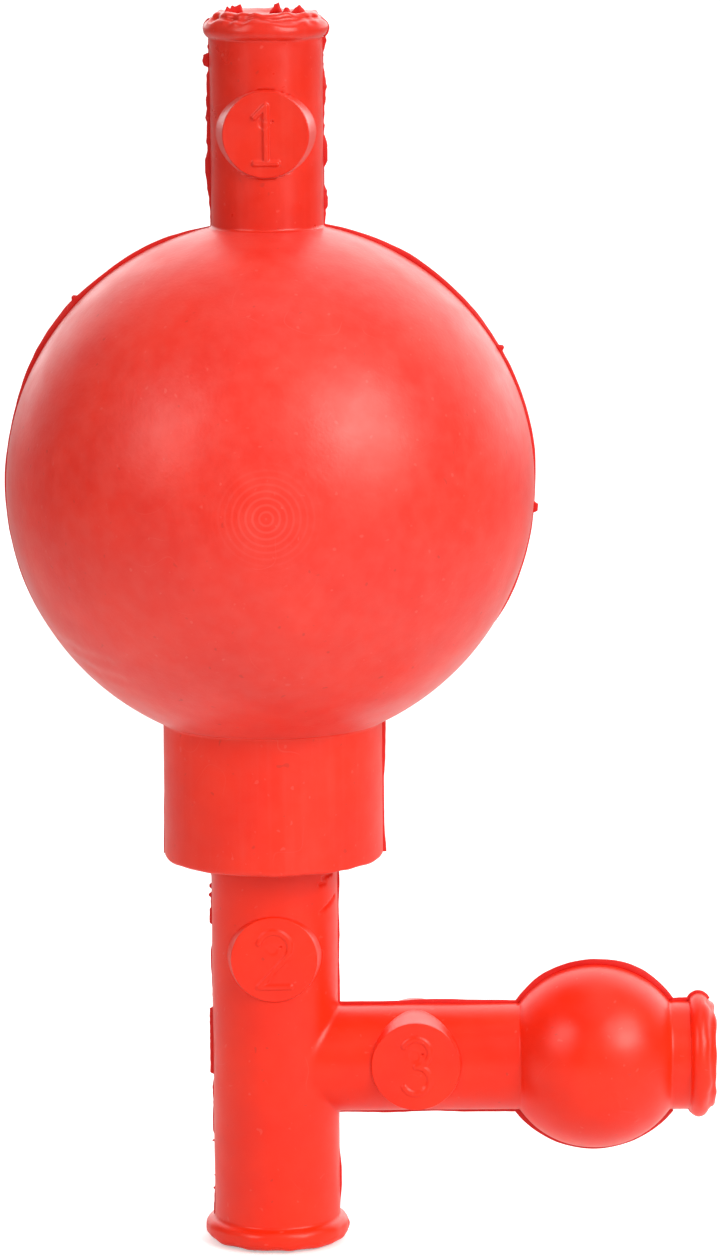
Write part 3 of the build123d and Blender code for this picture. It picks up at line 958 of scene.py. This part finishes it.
floor_paint.set(floor_paint.surface["Emission Strength"], lift)
floor_paint.set(floor_paint.surface["Roughness"], 0.8)
floor_mesh.materials.append(floor_paint.material)

# The studio is brightest behind the object and dimmest on its left. The camera sees plain white.
world = bpy.data.worlds.new("studio")
world.use_nodes = True
world_nodes, world_links = world.node_tree.nodes, world.node_tree.links
facing = world_nodes.new("ShaderNodeVectorMath")
facing.operation = "DOT_PRODUCT"
facing.inputs[1].default_value = Vector((0.18, 0.95, 0.22)).normalized()
world_links.new(world_nodes.new("ShaderNodeTexCoord").outputs["Generated"], facing.inputs[0])
glow = world_nodes.new("ShaderNodeMapRange")
glow.interpolation_type = "SMOOTHSTEP"
world_links.new(facing.outputs["Value"], glow.inputs["Value"])
for name, number in (("From Min", 0.3), ("From Max", 1), ("To Min", 0.15), ("To Max", 2.5)):
    glow.inputs[name].default_value = number
seen = world_nodes.new("ShaderNodeMix")
world_links.new(world_nodes.new("ShaderNodeLightPath").outputs["Is Camera Ray"], seen.inputs["Factor"])
world_links.new(glow.outputs["Result"], seen.inputs["A"])
seen.inputs["B"].default_value = 1.0
background = world_nodes["Background"]
background.inputs["Color"].default_value = (1, 1, 1, 1)
world_links.new(seen.outputs["Result"], background.inputs["Strength"])
scene.world = world

low, high = cad_box
centre = (low + high) / 2


def softbox(name, direction, distance, width, height, power):
    """A soft area light that faces the object from the given direction."""
    data = bpy.data.lights.new(name, "AREA")
    data.shape = "RECTANGLE"
    data.size, data.size_y = width, height
    data.energy = power
    data.color = (1, 0.97, 0.93)
    light = bpy.data.objects.new(name, data)
    direction = Vector(direction).normalized()
    light.location = centre + direction * distance
    light.rotation_euler = direction.to_track_quat("Z", "Y").to_euler()
    scene.collection.objects.link(light)


softbox("key", (0.6, -0.6, 0.52), 0.8, 0.5, 0.5, 5.1)
softbox("fill", (-0.66, -0.58, 0.48), 0.9, 0.4, 0.5, 2.5)
softbox("front", (0.3, -0.92, 0.25), 1.1, 1.4, 1.4, 1.5)
softbox("strip", (0.67, -0.73, 0.06), 0.9, 0.12, 0.9, 0.55)
softbox("top", (0.05, -0.12, 1), 0.9, 0.6, 0.6, 0.9)

# ---- camera: a little above the object, turned slightly as the object leans ----
CAMERA_DISTANCE = 0.650
CAMERA_RISE = 0.112
AIM_SHIFT = (-0.00024, 0, 0.0009)
CAMERA_ROLL = -0.45
camera_data = bpy.data.cameras.new("camera")
camera_data.lens = 165.7
camera_data.sensor_width = 36
camera = bpy.data.objects.new("camera", camera_data)
camera.location = (centre.x, -CAMERA_DISTANCE, centre.z + CAMERA_RISE)
look = centre + Vector(AIM_SHIFT) - camera.location
roll = Quaternion((0, 0, 1), math.radians(CAMERA_ROLL))
camera.rotation_euler = (look.to_track_quat("-Z", "Y") @ roll).to_euler()
scene.collection.objects.link(camera)
scene.camera = camera
scene.view_settings.view_transform = "Standard"
